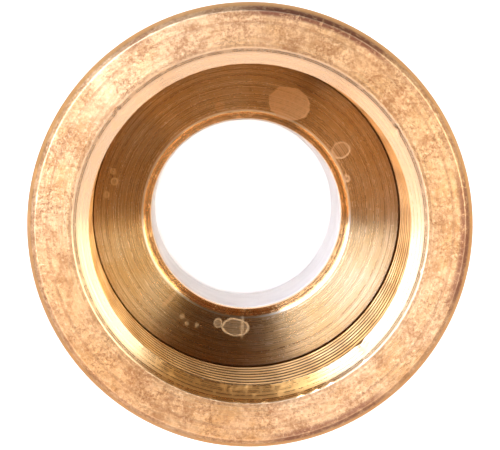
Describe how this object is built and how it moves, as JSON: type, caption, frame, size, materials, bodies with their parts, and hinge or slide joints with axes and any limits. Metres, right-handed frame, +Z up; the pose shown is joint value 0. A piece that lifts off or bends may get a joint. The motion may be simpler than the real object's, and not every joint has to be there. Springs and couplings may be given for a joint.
{
  "type": "water pressure regulator",
  "caption": "In-line brass water pressure regulator: G 3/4 swivel nut inlet, seat and sprung hollow piston, male outlet.",
  "frame": {"origin": "centre of the outlet's end face, which the part stands on", "axes": "+Z up the flow axis from the outlet to the inlet; the vent hole faces -Y; the wrench flats face +X and -X"},
  "size_m": [0.0334, 0.0334, 0.0832],
  "materials": {
    "turned_brass": "lathe turned, lightly worn",
    "white_acetal": "satin moulded",
    "ptfe": "waxy",
    "black_rubber": "matt",
    "spring_steel": "drawn and pressed",
    "sintered_bronze": "porous, dull"
  },
  "bodies": {
    "root": {"tailpiece": "turned_brass", "inlet_housing": "turned_brass", "outlet_body": "turned_brass", "gland_washer": "turned_brass", "seat_insert": "white_acetal", "stem_backup_ring": "ptfe", "tailpiece_o_ring": "black_rubber", "body_o_ring": "black_rubber", "stem_o_ring": "black_rubber", "spring": "spring_steel", "spring_upper_washer": "spring_steel", "preload_shim": "spring_steel", "gland_circlip": "spring_steel", "vent_filter": "sintered_bronze"},
    "nut": {"swivel_nut": "turned_brass"},
    "piston_group": {"piston": "white_acetal", "piston_nose": "white_acetal", "nose_seal": "black_rubber", "piston_o_ring": "black_rubber", "spring_lower_washer": "spring_steel"}
  },
  "joints": [
    {"name": "nut_spin", "type": "hinge", "parent": "root", "child": "nut", "pos_m": [0, 0, 0.0659], "axis": [0, 0, 1], "continuous": true},
    {"name": "piston_slide", "type": "slide", "parent": "root", "child": "piston_group", "axis": [0, 0, 1], "range_m": [0, 0.0016], "stiffness_N_per_m": 500, "deforming": ["spring"]}
  ]
}
